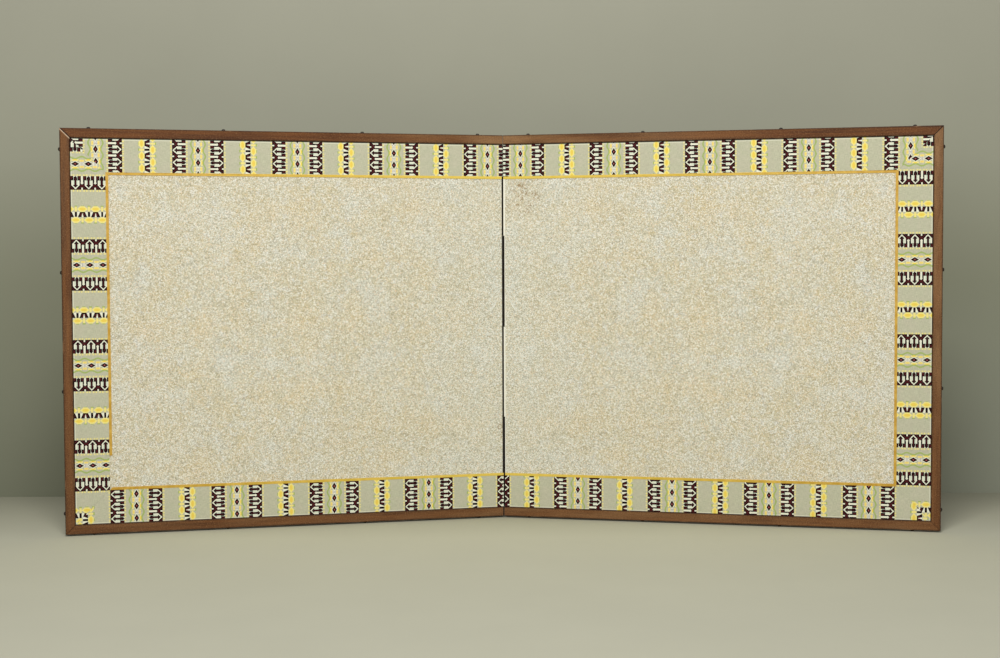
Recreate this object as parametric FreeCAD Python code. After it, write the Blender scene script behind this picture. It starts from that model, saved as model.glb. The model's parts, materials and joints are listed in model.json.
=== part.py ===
"""Low folding partition screen of two papered panels in three-sided wooden frames.

Each panel is made flat in its own frame: X runs outwards from the fold, Y runs from the
frame's front to its back, and Z runs up from the frame's underside. The right panel is
then turned about the fold line, and the left panel is the same thing mirrored.
All sizes are millimetres. The finished screen stands on Z = 0, centred on the origin.
"""

import FreeCAD, Part
import math
import os

from FreeCAD import Vector

# ---------------------------------------------------------------- overall sizes
panel_width = 909.0          # fold line to the outer face of the frame: three shaku
panel_height = 818.0         # frame underside to frame top: two shaku and seven sun
rest_turn = 13.5             # degrees that each panel is turned forward from flat

# ---------------------------------------------------------------- frame
frame_face = 19.5            # width of the frame as seen from the front
frame_rounding = 1.6         # radius along the frame's long edges
mitre_gap = 0.3              # opening across each mitred corner
rail_end_gap = 0.5           # frame rail's end to the fold line
core_fit = 0.3               # papered core to the inside of the frame

# ---------------------------------------------------------------- layers, front to back
front_recess = 2.0           # frame's front face down to the face paper
face_paper_thickness = 0.5
front_lining_thickness = 1.0
core_thickness = 13.0
back_lining_thickness = 1.0
back_paper_thickness = 0.5
back_recess = 2.0            # back paper down from the frame's back face

# ---------------------------------------------------------------- lattice core
core_rail_width = 18.0
core_stile_width = 24.0
lattice_bar_width = 12.0
upright_count = 5
crossbar_count = 6
lap_clearance = 0.1          # to each side in every halved joint
corner_block_leg = 50.0
corner_block_thickness = 8.0

# ---------------------------------------------------------------- border and trim
brocade_width = 68.0
brocade_thickness = 0.5
trim_width = 5.5
trim_thickness = 0.8
border_gap = 0.1             # between neighbouring strips

# ---------------------------------------------------------------- paper hinge
hinge_segments = 4
hinge_leaf_width = 30.0
hinge_web_thickness = 0.9
hinge_slit = 1.0             # between one segment and the next
hinge_fold_depth = 4.0       # face paper down to where a web lies flat on the edge
panel_edge_gap = 2.0         # papered edge of a panel to the fold line
fold_standoff = 0.5          # fold line in front of the frame's front face

# ---------------------------------------------------------------- nails
nail_head_radius = 4.0
nail_head_height = 3.2
nail_crown_radius = 1.4      # small flat on top of the dome
nail_bulge = 0.7             # how far out the dome's middle stands, from 0.5 for a cone
nail_shaft_radius = 1.1
nail_point_length = 3.0
nail_bite = 12.0             # length of shaft inside the core
nail_clearance = 0.1
rail_nails_from_fold = (53.0, 300.0)
rail_nails_from_corner = (323.0, 56.0)
stile_nails_from_rails = (22.5, 269.5)   # up or down from the rails' inner edges

# ---------------------------------------------------------------- worked out
front_paper_back = front_recess + face_paper_thickness
core_front = front_paper_back + front_lining_thickness
core_back = core_front + core_thickness
back_paper_front = core_back + back_lining_thickness
back_paper_back = back_paper_front + back_paper_thickness
frame_depth = back_paper_back + back_recess

inner_left = panel_edge_gap
inner_right = panel_width - frame_face - core_fit
inner_bottom = frame_face + core_fit
inner_top = panel_height - frame_face - core_fit
bars_left = inner_left + core_stile_width
bars_right = inner_right - core_stile_width
bars_bottom = inner_bottom + core_rail_width
bars_top = inner_top - core_rail_width
lap_plane = core_front + core_thickness / 2.0
nail_plane = frame_depth / 2.0
nail_shaft_length = frame_face + core_fit + nail_bite
segment_height = (inner_top - inner_bottom) / hinge_segments

turn = math.radians(rest_turn)
rearmost = (frame_depth + fold_standoff) * math.cos(turn) - rail_end_gap * math.sin(turn)
foremost = (
    (frame_rounding + fold_standoff) * math.cos(turn)
    - (panel_width - frame_rounding) * math.sin(turn)
    - frame_rounding
)
fold_line_y = -(rearmost + foremost) / 2.0


# ---------------------------------------------------------------- helpers
def block(x_span, y_span, z_span):
    """A box given by its low and high value on each axis."""
    size = [high - low for low, high in (x_span, y_span, z_span)]
    return Part.makeBox(*size, Vector(x_span[0], y_span[0], z_span[0]))


def upright_prism(outline, y_span):
    """A prism over an outline of (x, z) points, running from front to back."""
    low, high = y_span
    points = [Vector(x, low, z) for x, z in outline]
    face = Part.Face(Part.makePolygon(points + points[:1]))
    return face.extrude(Vector(0, high - low, 0))


def rounded_bar(length):
    """A frame bar along +X, from 0 to length, with its face width on 0 to frame_face in Z."""
    bar = block((0, length), (0, frame_depth), (0, frame_face))
    long_edges = [edge for edge in bar.Edges if edge.BoundBox.XLength > length / 2.0]
    return bar.makeFillet(frame_rounding, long_edges)


def centres(low, high, count):
    """Centres of count bars that share out the space between low and high evenly."""
    step = (high - low) / (count + 1)
    return [low + step * (index + 1) for index in range(count)]


def around(centre, width):
    """The span of that width about a centre."""
    return (centre - width / 2.0, centre + width / 2.0)


def grown(span, margin):
    """A span made longer by a margin at both ends."""
    return (span[0] - margin, span[1] + margin)


# ---------------------------------------------------------------- nails
def nail():
    """A domed nail on the origin: its head stands up along +Z, its shaft points down."""
    crown = Vector(nail_crown_radius, 0, nail_head_height)
    rim = Vector(nail_head_radius, 0, 0)
    dome_run = nail_head_radius - nail_crown_radius
    shoulder = Vector(
        nail_crown_radius + dome_run * nail_bulge,
        0,
        nail_head_height * nail_bulge,
    )
    neck = Vector(nail_shaft_radius, 0, 0)
    taper = Vector(nail_shaft_radius, 0, nail_point_length - nail_shaft_length)
    tip = Vector(0, 0, -nail_shaft_length)
    top = Vector(0, 0, nail_head_height)
    edges = [
        Part.makeLine(top, crown),
        Part.Arc(crown, shoulder, rim).toShape(),
        Part.makeLine(rim, neck),
        Part.makeLine(neck, taper),
        Part.makeLine(taper, tip),
        Part.makeLine(tip, top),
    ]
    profile = Part.Face(Part.Wire(edges))
    return profile.revolve(Vector(0, 0, 0), Vector(0, 0, 1), 360)


def nail_hole():
    """The space that a nail's shaft needs, on the origin and down along -Z."""
    radius = nail_shaft_radius + nail_clearance
    depth = nail_shaft_length + nail_clearance
    return Part.makeCylinder(radius, depth, Vector(0, 0, 0), Vector(0, 0, -1))


def rail_nail_places():
    """Distances of a rail's nails from the fold line."""
    near = list(rail_nails_from_fold)
    far = [panel_width - inset for inset in rail_nails_from_corner]
    return near + far


def stile_nail_places():
    """Heights of the outer stile's nails above the frame's underside."""
    low = [frame_face + offset for offset in stile_nails_from_rails]
    high = [panel_height - place for place in low]
    return sorted(low + high)


def on_top(shape, x):
    placed = shape.copy()
    placed.translate(Vector(x, nail_plane, panel_height))
    return placed


def underneath(shape, x):
    placed = shape.copy()
    placed.rotate(Vector(0, 0, 0), Vector(1, 0, 0), 180)
    placed.translate(Vector(x, nail_plane, 0))
    return placed


def on_outer_face(shape, z):
    placed = shape.copy()
    placed.rotate(Vector(0, 0, 0), Vector(0, 1, 0), 90)
    placed.translate(Vector(panel_width, nail_plane, z))
    return placed


# ---------------------------------------------------------------- frame
def frame_pieces():
    """Top rail, bottom rail and outer stile, mitred together at the outer corners."""
    half_gap = mitre_gap / math.sqrt(2)
    depth = grown((0, frame_depth), 1.0)
    inner_x = panel_width - frame_face
    mitre_x = inner_x - half_gap
    rail_outline = [
        (rail_end_gap, 0),
        (panel_width - half_gap, 0),
        (mitre_x, frame_face),
        (rail_end_gap, frame_face),
    ]
    stile_outline = [
        (inner_x, frame_face + half_gap),
        (panel_width, half_gap),
        (panel_width, panel_height - half_gap),
        (inner_x, panel_height - frame_face - half_gap),
    ]
    bottom_rail = rounded_bar(panel_width).common(upright_prism(rail_outline, depth))
    top_rail = bottom_rail.mirror(Vector(0, 0, panel_height / 2.0), Vector(0, 0, 1))
    stile = rounded_bar(panel_height)
    stile.rotate(Vector(0, 0, 0), Vector(0, 1, 0), -90)
    stile.translate(Vector(panel_width, 0, 0))
    stile = stile.common(upright_prism(stile_outline, depth))
    return top_rail, bottom_rail, stile


# ---------------------------------------------------------------- lattice core
def core_rail(z_span):
    """A horizontal edge bar of the core, halved at its ends so the stiles lie in front."""
    rail = block((inner_left, inner_right), (core_front, core_back), z_span)
    front_half = (core_front, lap_plane + lap_clearance)
    fold_lap = block((inner_left, bars_left + lap_clearance), front_half, z_span)
    outer_lap = block((bars_right - lap_clearance, inner_right), front_half, z_span)
    return rail.cut(Part.makeCompound([fold_lap, outer_lap]))


def core_stile(x_span):
    """A vertical edge bar of the core, halved at its ends so the rails lie behind."""
    stile = block(x_span, (core_front, core_back), (inner_bottom, inner_top))
    back_half = (lap_plane, core_back)
    low_lap = block(x_span, back_half, (inner_bottom, bars_bottom + lap_clearance))
    high_lap = block(x_span, back_half, (bars_top - lap_clearance, inner_top))
    return stile.cut(Part.makeCompound([low_lap, high_lap]))


def lattice():
    """Uprights and crossbars, halved into each other wherever they cross."""
    upright_spans = [
        around(x, lattice_bar_width) for x in centres(bars_left, bars_right, upright_count)
    ]
    crossbar_spans = [
        around(z, lattice_bar_width) for z in centres(bars_bottom, bars_top, crossbar_count)
    ]
    depth = (core_front, core_back)
    front_half = (core_front, lap_plane + lap_clearance)
    back_half = (lap_plane, core_back)
    uprights = []
    for x_span in upright_spans:
        bar = block(x_span, depth, (bars_bottom, bars_top))
        laps = [block(x_span, front_half, grown(z, lap_clearance)) for z in crossbar_spans]
        uprights.append(bar.cut(Part.makeCompound(laps)))
    crossbars = []
    for z_span in crossbar_spans:
        bar = block((bars_left, bars_right), depth, z_span)
        laps = [block(grown(x, lap_clearance), back_half, z_span) for x in upright_spans]
        crossbars.append(bar.cut(Part.makeCompound(laps)))
    return uprights, crossbars


def corner_blocks():
    """Triangular boards glued into the four inner corners of the core."""
    y_span = around(lap_plane, corner_block_thickness)
    blocks = []
    for x, x_way in ((bars_left, 1), (bars_right, -1)):
        for z, z_way in ((bars_bottom, 1), (bars_top, -1)):
            outline = [
                (x, z),
                (x + x_way * corner_block_leg, z),
                (x, z + z_way * corner_block_leg),
            ]
            blocks.append(upright_prism(outline, y_span))
    return blocks


# ---------------------------------------------------------------- papers and border
def full_sheet(y_span):
    """A sheet that covers the whole core, from the fold edge to the inside of the frame."""
    return block((inner_left, inner_right), y_span, (inner_bottom, inner_top))


def border_strips(start, width, y_span):
    """Top, bottom and side strips of a border that starts that far inside the frame."""
    outer_x = inner_right - start
    inner_x = outer_x - width
    low = inner_bottom + start
    high = inner_top - start
    half_gap = border_gap / math.sqrt(2)
    bottom = [
        (inner_left, low),
        (outer_x - half_gap, low),
        (inner_x - half_gap, low + width),
        (inner_left, low + width),
    ]
    top = [(x, inner_bottom + inner_top - z) for x, z in bottom]
    side = [
        (outer_x, low + half_gap),
        (outer_x, high - half_gap),
        (inner_x, high - width - half_gap),
        (inner_x, low + width + half_gap),
    ]
    return [upright_prism(outline, y_span) for outline in (top, bottom, side)]


# ---------------------------------------------------------------- paper hinge
def segment_span(index):
    """Height span of one hinge segment, counted from the bottom."""
    low = inner_bottom + segment_height * index
    return (low + hinge_slit / 2.0, low + segment_height - hinge_slit / 2.0)


def leaf(index, y_span):
    leaf_span = (inner_left, inner_left + hinge_leaf_width)
    return block(leaf_span, y_span, segment_span(index))


def wrap(index):
    """The part of a segment that lies along this panel's edge and round onto its back.
    The few millimetres in front of it bend with the fold, so they stay free."""
    web_span = (inner_left - hinge_web_thickness, inner_left)
    web_front = front_recess + hinge_fold_depth
    web = block(web_span, (web_front, back_paper_front), segment_span(index))
    back_leaf = leaf(index, (core_back, back_paper_front))
    return web.fuse(back_leaf).removeSplitter()


def lining(y_span, leaf_indices):
    """Under-paper cut away where the hinge leaves of this face are pasted."""
    sheet = full_sheet(y_span)
    room = (inner_left, inner_left + hinge_leaf_width + border_gap)
    cuts = [block(room, y_span, grown(segment_span(i), border_gap)) for i in leaf_indices]
    return sheet.cut(Part.makeCompound(cuts))


# ---------------------------------------------------------------- one panel
def panel(wrap_indices):
    """All pieces of one flat panel, by name. wrap_indices are the hinge segments that lie
    along this panel's edge; the others start on its front face."""
    front_indices = [i for i in range(hinge_segments) if i not in wrap_indices]
    front_lining_span = (front_paper_back, core_front)
    back_lining_span = (core_back, back_paper_front)
    brocade_span = (front_recess - brocade_thickness, front_recess)
    trim_span = (front_recess - trim_thickness, front_recess)

    top_rail, bottom_rail, outer_stile = frame_pieces()
    top_holes = Part.makeCompound([on_top(nail_hole(), x) for x in rail_nail_places()])
    low_holes = Part.makeCompound([underneath(nail_hole(), x) for x in rail_nail_places()])
    side_holes = Part.makeCompound([on_outer_face(nail_hole(), z) for z in stile_nail_places()])
    uprights, crossbars = lattice()
    brocade = border_strips(0.0, brocade_width, brocade_span)
    trim = border_strips(brocade_width + border_gap, trim_width, trim_span)
    edge_nails = [on_top(nail(), x) for x in rail_nail_places()]
    edge_nails += [on_outer_face(nail(), z) for z in stile_nail_places()]
    foot_nails = [underneath(nail(), x) for x in rail_nail_places()]

    return {
        "frame_top_rail": top_rail.cut(top_holes),
        "frame_bottom_rail": bottom_rail.cut(low_holes),
        "frame_outer_stile": outer_stile.cut(side_holes),
        "core_top_rail": core_rail((bars_top, inner_top)).cut(top_holes),
        "core_bottom_rail": core_rail((inner_bottom, bars_bottom)).cut(low_holes),
        "core_fold_stile": core_stile((inner_left, bars_left)),
        "core_outer_stile": core_stile((bars_right, inner_right)).cut(side_holes),
        "core_uprights": Part.makeCompound(uprights),
        "core_crossbars": Part.makeCompound(crossbars),
        "core_corner_blocks": Part.makeCompound(corner_blocks()),
        "front_lining": lining(front_lining_span, front_indices),
        "back_lining": lining(back_lining_span, wrap_indices),
        "face_paper": full_sheet((front_recess, front_paper_back)),
        "back_paper": full_sheet((back_paper_front, back_paper_back)),
        "brocade_top": brocade[0],
        "brocade_bottom": brocade[1],
        "brocade_side": brocade[2],
        "trim_top": trim[0],
        "trim_bottom": trim[1],
        "trim_side": trim[2],
        "hinge_front_leaves": Part.makeCompound(
            [leaf(i, front_lining_span) for i in front_indices]
        ),
        "hinge_wraps": Part.makeCompound([wrap(i) for i in wrap_indices]),
        "edge_nails": Part.makeCompound(edge_nails),
        "foot_nails": Part.makeCompound(foot_nails),
    }


# ---------------------------------------------------------------- place both panels
def stand(shape):
    """Turn a flat panel's piece about the fold line and stand it on its foot nails."""
    placed = shape.copy()
    placed.translate(Vector(0, fold_standoff, nail_head_height))
    placed.rotate(Vector(0, 0, 0), Vector(0, 0, 1), -rest_turn)
    placed.translate(Vector(0, fold_line_y, 0))
    return placed


def write(name, shape):
    shape.exportStep(os.path.join("parts", name + ".step"))
    print(name, len(shape.Solids), "solids", round(shape.Volume / 1000.0, 2), "cm3")


os.makedirs("parts", exist_ok=True)
right_wraps = list(range(0, hinge_segments, 2))
left_wraps = list(range(1, hinge_segments, 2))
for name, shape in panel(right_wraps).items():
    write("right_" + name, stand(shape))
for name, shape in panel(left_wraps).items():
    write("left_" + name, stand(shape).mirror(Vector(0, 0, 0), Vector(1, 0, 0)))
print("fold line at y", round(fold_line_y, 3), "mm")
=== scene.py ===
# %% [markdown]
# # A low folding screen
# Two papered panels stand on the floor, joined by a paper hinge. The solid model gives the
# lattice inside, the linings and the nails. Here the wooden frame, the face papers, the woven
# border and the gilt line are made again in finer shape. Everything is in metres.

# %% Load the fixed frame
import json
import math

import bmesh
import bpy
from mathutils import Matrix, Vector, noise


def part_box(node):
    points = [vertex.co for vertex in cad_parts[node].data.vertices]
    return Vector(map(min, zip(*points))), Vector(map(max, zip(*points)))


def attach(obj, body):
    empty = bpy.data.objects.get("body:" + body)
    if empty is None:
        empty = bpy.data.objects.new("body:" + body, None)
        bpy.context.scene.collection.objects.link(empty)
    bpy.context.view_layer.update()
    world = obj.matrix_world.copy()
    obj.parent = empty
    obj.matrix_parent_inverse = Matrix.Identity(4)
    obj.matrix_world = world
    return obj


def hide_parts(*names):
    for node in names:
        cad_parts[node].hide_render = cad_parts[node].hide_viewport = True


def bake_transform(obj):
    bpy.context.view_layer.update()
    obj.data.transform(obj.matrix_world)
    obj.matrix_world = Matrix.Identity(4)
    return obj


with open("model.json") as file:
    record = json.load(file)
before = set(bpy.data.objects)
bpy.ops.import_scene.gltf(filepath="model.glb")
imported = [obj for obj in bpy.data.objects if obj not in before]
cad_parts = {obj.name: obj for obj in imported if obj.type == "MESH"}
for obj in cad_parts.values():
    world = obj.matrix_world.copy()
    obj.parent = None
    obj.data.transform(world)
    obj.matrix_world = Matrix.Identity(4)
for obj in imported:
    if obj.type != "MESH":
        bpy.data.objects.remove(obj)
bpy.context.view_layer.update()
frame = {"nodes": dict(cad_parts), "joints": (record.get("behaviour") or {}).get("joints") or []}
print("frame loaded with", len(frame["nodes"]), "nodes")

# %% [markdown]
# A screen is made flat on the bench and only then folded. So every piece but the paper folds
# is made in the flat panel's own coordinates, and one matrix per panel folds it into place:
# u runs out from the fold, v from the frame's front to its back, z up from the underside.
# The left panel is the same thing mirrored.

# %% Sizes of one flat panel, and the matrices that fold it
MM = 0.001
PANEL_WIDTH = 909.0 * MM
PANEL_HEIGHT = 818.0 * MM
FRAME_FACE = 19.5 * MM
FRAME_DEPTH = 20.0 * MM
FRAME_ROUNDING = 1.6 * MM
CORE_FIT = 0.3 * MM
EDGE_GAP = 2.0 * MM
END_GAP = 0.03 * MM
MITRE_GAP = 0.3 * MM
RECESS = 2.0 * MM
SHEET = 0.4 * MM
BORDER = 68.0 * MM
TRIM_WIDTH = 5.5 * MM
STANDOFF = 0.5 * MM
SIDES = ("left", "right")

fold = frame["joints"][0]
fold_place = Vector(fold["pos_m"])
rest_turn = math.radians(-fold["range_deg"][0]) / 2
foot_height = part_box("right_frame_bottom_rail")[0].z
to_right = (
    Matrix.Translation((0, fold_place.y, foot_height))
    @ Matrix.Rotation(-rest_turn, 4, "Z")
    @ Matrix.Translation((0, STANDOFF, 0))
)
to_place = {"right": to_right, "left": Matrix.Scale(-1, 4, (1, 0, 0)) @ to_right}

low_u, high_u = EDGE_GAP, PANEL_WIDTH - FRAME_FACE - CORE_FIT
low_z, high_z = FRAME_FACE + CORE_FIT, PANEL_HEIGHT - FRAME_FACE - CORE_FIT
print("each panel is turned", round(math.degrees(rest_turn), 2), "degrees at rest")

# %% [markdown]
# ## Camera and light
# The camera stands four screen heights away, a little above the middle of the screen, and
# looks very slightly down and to the right. The picture is shifted a little sideways in the
# lens, so the fold sits beside its middle.

# %% Camera
CAMERA_BACK = 3.29
CAMERA_SIDE = 0.009
VIEW_SHIFT = -0.0174
CAMERA_HEIGHT = 0.5435
LENS_MM = 55.21
LOOK_DOWN = math.radians(2.433)
LOOK_RIGHT = math.radians(0.365)
ROLL = math.radians(0.196)


def make_camera():
    data = bpy.data.cameras.new("camera")
    data.lens = LENS_MM
    data.sensor_width = 36.0
    data.shift_x = VIEW_SHIFT
    data.clip_start = 0.05
    camera = bpy.data.objects.new("camera", data)
    bpy.context.collection.objects.link(camera)
    ahead = Vector((math.tan(LOOK_RIGHT), 1, -math.tan(LOOK_DOWN))).normalized()
    right = ahead.cross(Vector((0, 0, 1))).normalized()
    up = right.cross(ahead)
    rolled_up = up * math.cos(ROLL) + right * math.sin(ROLL)
    rolled_right = right * math.cos(ROLL) - up * math.sin(ROLL)
    turn = Matrix((rolled_right, rolled_up, -ahead)).transposed()
    camera.matrix_world = turn.to_4x4()
    camera.location = (CAMERA_SIDE, fold_place.y - CAMERA_BACK, CAMERA_HEIGHT + foot_height)
    bpy.context.scene.camera = camera
    return camera


print("camera at", [round(x, 3) for x in make_camera().location])

# %% [markdown]
# ## Finishes
# Each finish is a Principled material fed by procedural masks. A small helper class wires the
# nodes, so a pattern reads like a formula. Effects that finishes share are node groups.


# %% A helper that wires nodes
def maths(operation):
    """A method that adds one maths node."""

    def method(self, *values):
        return self.wired("ShaderNodeMath", 0, dict(enumerate(values)), operation=operation)

    return method


class Wires:
    """Adds nodes to one node tree. Every call gives back an output socket."""

    add = maths("ADD")
    sub = maths("SUBTRACT")
    times = maths("MULTIPLY")
    over = maths("DIVIDE")
    power = maths("POWER")
    size = maths("ABSOLUTE")
    less = maths("LESS_THAN")
    more = maths("GREATER_THAN")
    either = maths("MAXIMUM")
    least = maths("MINIMUM")
    floor = maths("FLOOR")
    fraction = maths("FRACT")
    cosine = maths("COSINE")
    pingpong = maths("PINGPONG")

    def __init__(self, tree):
        self.tree = tree

    def node(self, kind, **settings):
        made = self.tree.nodes.new(kind)
        for name, value in settings.items():
            setattr(made, name, value)
        return made

    def feed(self, socket, value):
        if isinstance(value, bpy.types.NodeSocket):
            self.tree.links.new(value, socket)
        else:
            socket.default_value = value

    def wired(self, kind, output, inputs, **settings):
        """Adds a node, feeds its inputs by name or number, and gives back one output."""
        made = self.node(kind, **settings)
        for label, value in inputs.items():
            self.feed(made.inputs[label], value)
        return made.outputs[output]

    def both(self, *masks):
        total = masks[0]
        for mask in masks[1:]:
            total = self.times(total, mask)
        return total

    def between(self, a, low, high):
        return self.both(self.more(a, low), self.less(a, high))

    def paint(self, under, over, mask, **settings):
        inputs = {"Factor": mask, "A": under, "B": over}
        return self.wired("ShaderNodeMix", "Result", inputs, data_type="RGBA", **settings)

    def ramp(self, value, low, high, to_low=0.0, to_high=1.0):
        inputs = {"Value": value, "From Min": low, "From Max": high}
        inputs |= {"To Min": to_low, "To Max": to_high}
        return self.wired("ShaderNodeMapRange", "Result", inputs, clamp=True)

    def stretch(self, vector, scale):
        inputs = {0: vector, 1: scale}
        return self.wired("ShaderNodeVectorMath", 0, inputs, operation="MULTIPLY")

    def distance(self, place, point):
        inputs = {0: place, 1: point}
        return self.wired("ShaderNodeVectorMath", "Value", inputs, operation="DISTANCE")

    def noise(self, vector, scale, detail=3.0, rough=0.55):
        inputs = {"Vector": vector, "Scale": scale, "Detail": detail, "Roughness": rough}
        return self.wired("ShaderNodeTexNoise", "Fac", inputs)

    def cells(self, vector, scale):
        return self.wired("ShaderNodeTexVoronoi", "Color", {"Vector": vector, "Scale": scale})

    def split(self, vector):
        made = self.node("ShaderNodeSeparateXYZ")
        self.feed(made.inputs[0], vector)
        return tuple(made.outputs)

    def told(self, name):
        """What the piece's mesh carries for each point, such as its place on its own piece."""
        return self.node("ShaderNodeAttribute", attribute_name=name).outputs["Vector"]

    def object(self):
        return self.node("ShaderNodeTexCoord").outputs["Object"]

    def bump(self, height, strength, distance):
        inputs = {"Strength": strength, "Distance": distance, "Height": height}
        return self.wired("ShaderNodeBump", "Normal", inputs)

    def use(self, group, vector):
        made = self.node("ShaderNodeGroup", node_tree=group)
        self.feed(made.inputs["Vector"], vector)
        return made.outputs


def new_group(name, outputs):
    """A node group with a Vector input, and the wires to fill it."""
    group = bpy.data.node_groups.new(name, "ShaderNodeTree")
    group.interface.new_socket("Vector", in_out="INPUT", socket_type="NodeSocketVector")
    for label, kind in outputs:
        group.interface.new_socket(label, in_out="OUTPUT", socket_type="NodeSocket" + kind)
    return group, Wires(group), group.nodes.new("NodeGroupInput"), group.nodes.new("NodeGroupOutput")


def new_material(name, rough=0.6, **constants):
    """A material with one Principled shader, and the wires to feed it."""
    material = bpy.data.materials.new(name)
    material.use_nodes = True
    shader = material.node_tree.nodes["Principled BSDF"]
    shader.inputs["Roughness"].default_value = rough
    for label, value in constants.items():
        shader.inputs[label.replace("_", " ")].default_value = value
    return material, Wires(material.node_tree), shader


def coat(w, shader, colour, height, strength, depth):
    """Gives a shader its colour and its small relief."""
    w.feed(shader.inputs["Base Color"], colour)
    w.feed(shader.inputs["Normal"], w.bump(height, strength, depth))


# %% [markdown]
# ### Shared effects
# Grain is noise drawn out along the bar, with a finer noise for the pores. Fibres are the
# soft cloudy tangle of handmade paper, at two sizes.


# %% Grain and fibre groups
def grain_group():
    group, w, given, out = new_group("grain", [("Streaks", "Float"), ("Pores", "Float")])
    place = given.outputs["Vector"]
    bent = w.stretch(place, (3.0, 90.0, 90.0))
    streaks = w.noise(bent, 1.6, detail=5.0, rough=0.6)
    pores = w.noise(w.stretch(place, (40.0, 1500.0, 1500.0)), 1.0, detail=2.0)
    w.feed(out.inputs["Streaks"], w.ramp(streaks, 0.32, 0.68))
    w.feed(out.inputs["Pores"], w.ramp(pores, 0.56, 0.7))
    return group


def fibre_group():
    group, w, given, out = new_group("fibres", [("Clouds", "Float"), ("Fibres", "Float")])
    place = given.outputs["Vector"]
    w.feed(out.inputs["Clouds"], w.ramp(w.noise(place, 9.0, detail=4.0), 0.3, 0.7))
    w.feed(out.inputs["Fibres"], w.ramp(w.noise(place, 420.0, detail=5.0, rough=0.75), 0.3, 0.7))
    return group


GRAIN = grain_group()
FIBRES = fibre_group()


# %% [markdown]
# ### Frame wood
# The frame is oiled reddish-brown wood, dulled and dusty in places. Its rounded edges are
# darkened with painted shade. A point's own coordinates are its place along the bar, its depth
# and its distance from the outer face, so the grain follows each bar round the mitre. A second
# set tells how far the point is from the upper and the lower joint of its bar, and how dusty
# the bar is there. The rails' ends by the fold are painted black as shade in the slit between
# the panels. The upper left mitre has opened: it shows a dark gap with a pale line of sawn wood
# beside it, brightened with a painted highlight on its raised edge.


# %% Frame wood
def joint_lines_and_fold_shade(w, colour, upper, lower, opened):
    # Black lines at the mitre joints. Where a rail's joint is its end by the fold, the black is
    # painted shade in the slit between the panels.
    black = (0.02, 0.008, 0.004, 1)
    # the pale line beside the opened mitre is fresh sawn wood with a painted highlight on its raised
    # edge
    sawn_edge_highlight = (0.56, 0.4, 0.27, 1)
    if opened:
        colour = w.paint(colour, sawn_edge_highlight, w.between(upper, -0.002, -0.0001))
        colour = w.paint(colour, black, w.between(upper, -0.0001, 0.002))
    else:
        colour = w.paint(colour, black, w.less(w.size(upper), 0.0008))
    line = w.between(lower, -0.0001, 0.0006)
    return w.paint(colour, black, w.times(line, 0.6))


def frame_wood(name, opened):
    material, w, shader = new_material(name, rough=0.5, Specular_IOR_Level=0.15)
    place = w.told("own")
    grain = w.use(GRAIN, place)
    along, depth, face = w.split(place)
    upper, lower, dust = w.split(w.told("joint"))
    dark = (0.055, 0.016, 0.004, 1)
    middle = (0.19, 0.068, 0.018, 1)
    dusty = (0.29, 0.155, 0.066, 1)
    colour = w.paint(dark, middle, grain["Streaks"])
    clouds = w.noise(w.stretch(place, (7.0, 40.0, 40.0)), 1.0, detail=4.0)
    dusted = w.times(w.ramp(clouds, 0.34, 0.62, 0.25, 1.0), dust)
    colour = w.paint(colour, dusty, dusted)
    colour = w.paint(colour, dark, w.times(grain["Pores"], 0.65))
    to_front = w.least(depth, w.sub(FRAME_DEPTH, depth))
    to_side = w.least(face, w.sub(FRAME_FACE, face))
    reach = w.add(to_front, to_side)
    # painted shade: the wood darkens towards its rounded edges, as if they lay in shadow
    edge_shade = w.ramp(w.add(to_side, w.times(to_front, 0.3)), 0.0006, 0.003, 0.85, 0.0)
    colour = w.paint(colour, (0.03, 0.011, 0.005, 1), edge_shade)
    scuffs = w.noise(w.stretch(place, (22.0, 160.0, 160.0)), 1.0, detail=4.0)
    specks = w.noise(w.stretch(place, (420.0, 600.0, 600.0)), 1.0, detail=3.0, rough=0.7)
    colour = w.paint(colour, dark, w.ramp(specks, 0.52, 0.74, 0.0, 0.75))
    colour = w.paint(colour, (0.42, 0.23, 0.095, 1), w.ramp(specks, 0.47, 0.28, 0.0, 0.65))
    worn = w.times(w.ramp(reach, 0.0004, 0.0024, 1.0, 0.0), w.ramp(scuffs, 0.58, 0.66))
    colour = w.paint(colour, (0.33, 0.185, 0.095, 1), w.times(worn, 0.8))
    colour = joint_lines_and_fold_shade(w, colour, upper, lower, opened)
    w.feed(shader.inputs["Roughness"], w.ramp(grain["Streaks"], 0.0, 1.0, 0.4, 0.56))
    height = w.sub(w.times(grain["Streaks"], 0.4), grain["Pores"])
    coat(w, shader, colour, height, 0.35, 0.0003)
    return material


# %% [markdown]
# ### Face paper
# Each panel's field is cream paper strewn with fine flakes, so close up it looks like frosted
# sand and from afar like plain cream. Voronoi cells give the flakes: the random values of a
# cell pick which are bright, dark or faintly golden. Slow clouds of warmer and whiter paper
# lie under them. Old damp has left brown freckles beside the fold near the top of the right
# panel, and a few small marks elsewhere. At the fold the right panel's turned edge has a pale
# painted highlight, while the left panel's edge and the paper deep in the fold are painted
# near-black as shade.


# %% Face paper
FRECKLES = (0.04, RECESS, 0.688)
FRECKLE_REACH = 0.052
LEFT_MARKS = (((0.0046, RECESS, 0.181), 0.0022), ((0.0044, RECESS, 0.171), 0.0018))
LEFT_RING = ((0.008, RECESS, 0.1935), 0.0046)
RIGHT_MARKS = (((0.757, RECESS, 0.379), 0.002), ((0.236, RECESS, 0.585), 0.0014))
RUST = (0.3, 0.19, 0.08, 1)
# near-black painted shade for the paper inside the fold
FOLD_SHADE = (0.012, 0.008, 0.005, 1)


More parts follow.
